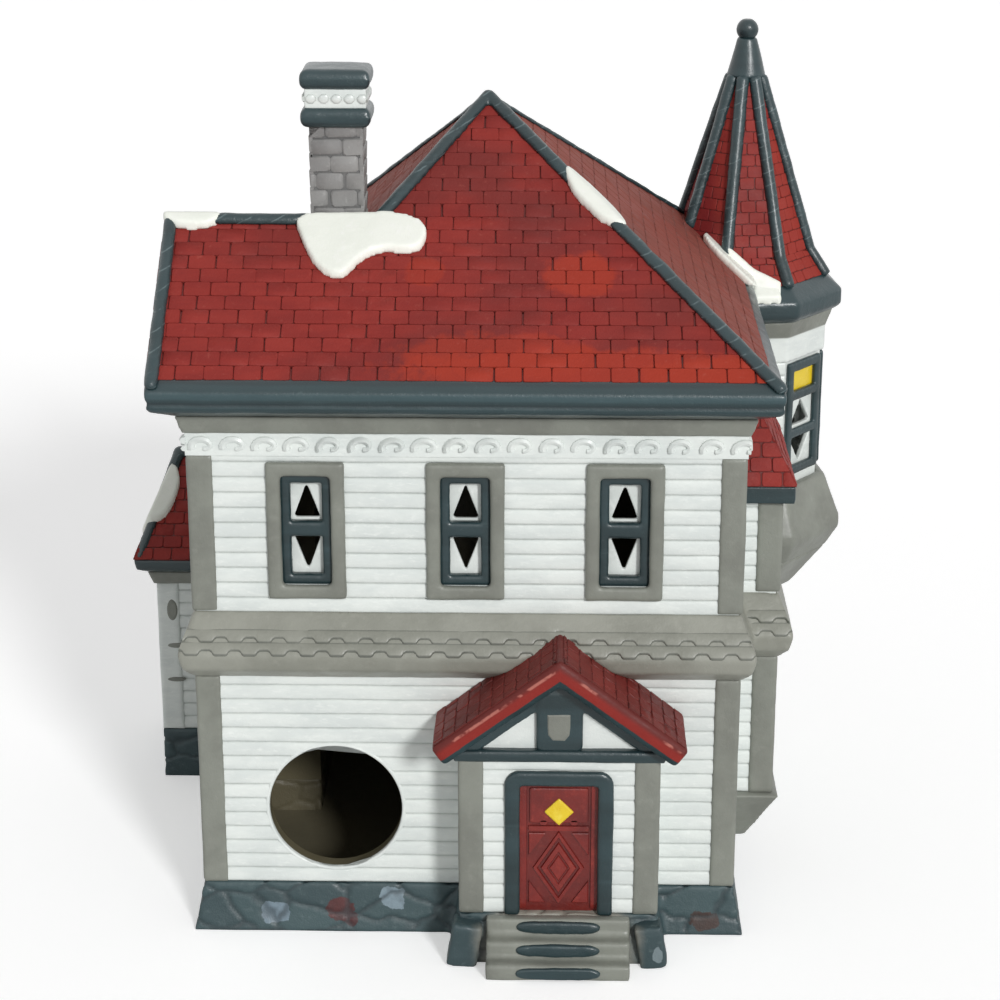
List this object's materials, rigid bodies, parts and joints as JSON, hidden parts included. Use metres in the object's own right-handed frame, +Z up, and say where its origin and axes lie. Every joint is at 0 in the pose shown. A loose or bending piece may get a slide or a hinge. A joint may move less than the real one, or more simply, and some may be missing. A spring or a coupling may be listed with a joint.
{
  "type": "ceramic christmas village house",
  "caption": "Hollow glazed ceramic house with a hipped roof, corner turret, gabled entry, bay, porch wing and chimney, and a round lamp hole in the back for lighting it from inside.",
  "frame": {"origin": "the middle of the main block, on the flat underside that stands on the shelf", "axes": "+Z up, -Y out of the back wall with the lamp hole, +X towards the corner turret"},
  "size_m": [0.1903, 0.1673, 0.2045],
  "materials": {
    "white_glaze": "satin glaze",
    "grey_trim": "satin glaze",
    "slate_trim": "gloss glaze",
    "roof_red": "matte glaze",
    "snow": "satin glaze",
    "curtain": "satin glaze",
    "yellow_light": "gloss glaze",
    "door_red": "satin glaze",
    "stone": "matte glaze",
    "brick": "matte glaze",
    "bare_clay": "unglazed"
  },
  "bodies": {
    "root": {"back_wall": "white_glaze", "bay_corbel": "grey_trim", "bay_fascia": "slate_trim", "bay_roof": "roof_red", "bay_walls": "white_glaze", "chimney_bands": "slate_trim", "chimney_collar": "white_glaze", "chimney_stack": "brick", "corner_boards": "grey_trim", "cornice": "grey_trim", "eave_moulding": "slate_trim", "entry_beam": "slate_trim", "entry_door": "door_red", "entry_door_frame": "slate_trim", "entry_gable_trim": "slate_trim", "entry_roof_left": "roof_red", "entry_roof_right": "roof_red", "entry_steps": "grey_trim", "entry_tympanum": "white_glaze", "entry_vent_louvre": "grey_trim", "entry_walls": "white_glaze", "floor_plate": "bare_clay", "foundation": "stone", "frieze": "white_glaze", "front_door": "door_red", "front_wall": "white_glaze", "gable_back_slope": "roof_red", "gable_front_slope": "roof_red", "gable_panel": "white_glaze", "left_wall": "white_glaze", "porch_cornice": "grey_trim", "porch_eave": "slate_trim", "porch_foundation": "stone", "porch_roof": "roof_red", "porch_walls": "white_glaze", "right_wall": "white_glaze", "roof_back_slope": "roof_red", "roof_caps": "slate_trim", "roof_front_slope": "roof_red", "roof_left_slope": "roof_red", "roof_right_slope": "roof_red", "skirt_roof": "grey_trim", "snow_drifts": "snow", "spire_cap": "slate_trim", "spire_finial": "slate_trim", "spire_ribs": "slate_trim", "step_risers": "slate_trim", "turret_corbel": "grey_trim", "turret_cornice": "grey_trim", "turret_eave": "slate_trim", "turret_skirt": "grey_trim", "turret_spire": "roof_red", "turret_wall": "white_glaze", "window_casings": "grey_trim", "window_curtains": "curtain", "window_sashes": "slate_trim", "wing_return_wall": "white_glaze", "wing_side_wall": "white_glaze", "yellow_lights": "yellow_light"}
  },
  "joints": []
}
